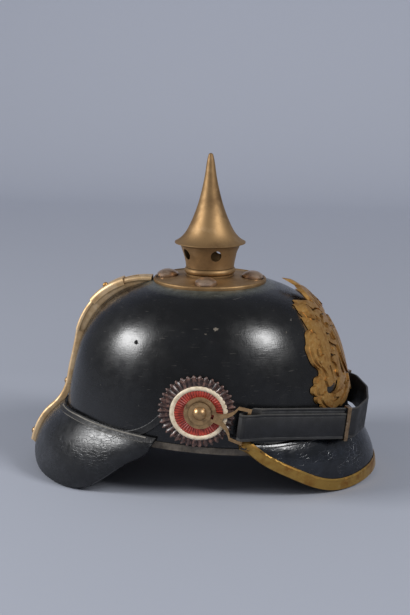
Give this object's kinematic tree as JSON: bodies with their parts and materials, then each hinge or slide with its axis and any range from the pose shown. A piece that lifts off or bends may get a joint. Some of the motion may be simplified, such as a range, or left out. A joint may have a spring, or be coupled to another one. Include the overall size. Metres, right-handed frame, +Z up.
{
  "type": "spiked helmet",
  "caption": "Black leather spiked helmet with a brass spike, rear spine, openwork front plate, two visors, side cockades and a buckled chinstrap.",
  "frame": {"origin": "middle of the bounding box on the surface that the visors stand on", "axes": "+X to the helmet's front, +Y to the wearer's left, +Z up along the spike"},
  "size_m": [0.2898, 0.2138, 0.2609],
  "materials": {
    "black_leather": "black lacquered leather, glossy, with fine crazing and small chips",
    "visor_leather": "black lacquered leather, crazed and worn at the edge",
    "edge_leather": "worn grey-brown leather edge",
    "lining_leather": "soft brown sheepskin lining",
    "strap_leather": "black strap leather, dulled and creased",
    "aged_brass": "satin aged brass, browned in the hollows",
    "plate_brass": "stamped gilt brass, sandy and worn on the raised parts",
    "trim_brass": "yellow brass strip with orange-brown tarnish",
    "steel": "dull steel",
    "cockade_right_paint": "pleated metal painted black, white and red",
    "cockade_left_paint": "pleated metal painted white, blue and white"
  },
  "bodies": {
    "helmet": {"shell": "black_leather", "rim_binding": "edge_leather", "sweatband": "lining_leather", "rear_visor": "visor_leather", "rear_visor_welt": "visor_leather", "front_visor": "visor_leather", "front_visor_trim": "trim_brass", "front_visor_welt": "visor_leather", "rear_spine": "aged_brass", "spine_rivets": "aged_brass", "base_plate": "aged_brass", "base_studs": "aged_brass", "stud_washers": "steel", "bead_ring": "aged_brass", "spike_neck": "aged_brass", "spike": "aged_brass", "front_plate": "plate_brass", "plate_loops": "aged_brass", "plate_wedges": "lining_leather", "right_cockade": "cockade_right_paint", "right_side_post": "aged_brass", "right_post_plate": "steel", "right_post_nut": "steel", "left_cockade": "cockade_left_paint", "left_side_post": "aged_brass", "left_post_plate": "steel", "left_post_nut": "steel"},
    "chinstrap": {"chinstrap": "strap_leather", "right_strap_lug": "aged_brass", "right_strap_return": "strap_leather", "left_strap_lug": "aged_brass", "left_strap_return": "strap_leather"},
    "vent_slider": {"vent_slider": "aged_brass", "vent_slider_knob": "aged_brass"},
    "right_buckle": {"right_buckle": "aged_brass"},
    "left_buckle": {"left_buckle": "aged_brass"}
  },
  "joints": [
    {"name": "vent_slider_travel", "type": "hinge", "parent": "helmet", "child": "vent_slider", "pos_m": [-0.04605, 0, 0.09907], "axis": [0, 1, 0], "range_deg": [0, 15]},
    {"name": "chinstrap_swing", "type": "hinge", "parent": "helmet", "child": "chinstrap", "pos_m": [0.00815, 0, 0.07316], "axis": [0, -1, 0], "range_deg": [0, 60]},
    {"name": "right_buckle_slide", "type": "slide", "parent": "chinstrap", "child": "right_buckle", "axis": [-0.8637, -0.4936, 0.1015], "range_m": [0, 0.055]},
    {"name": "left_buckle_slide", "type": "slide", "parent": "chinstrap", "child": "left_buckle", "axis": [-0.8637, 0.4936, 0.1015], "range_m": [0, 0.055]}
  ]
}
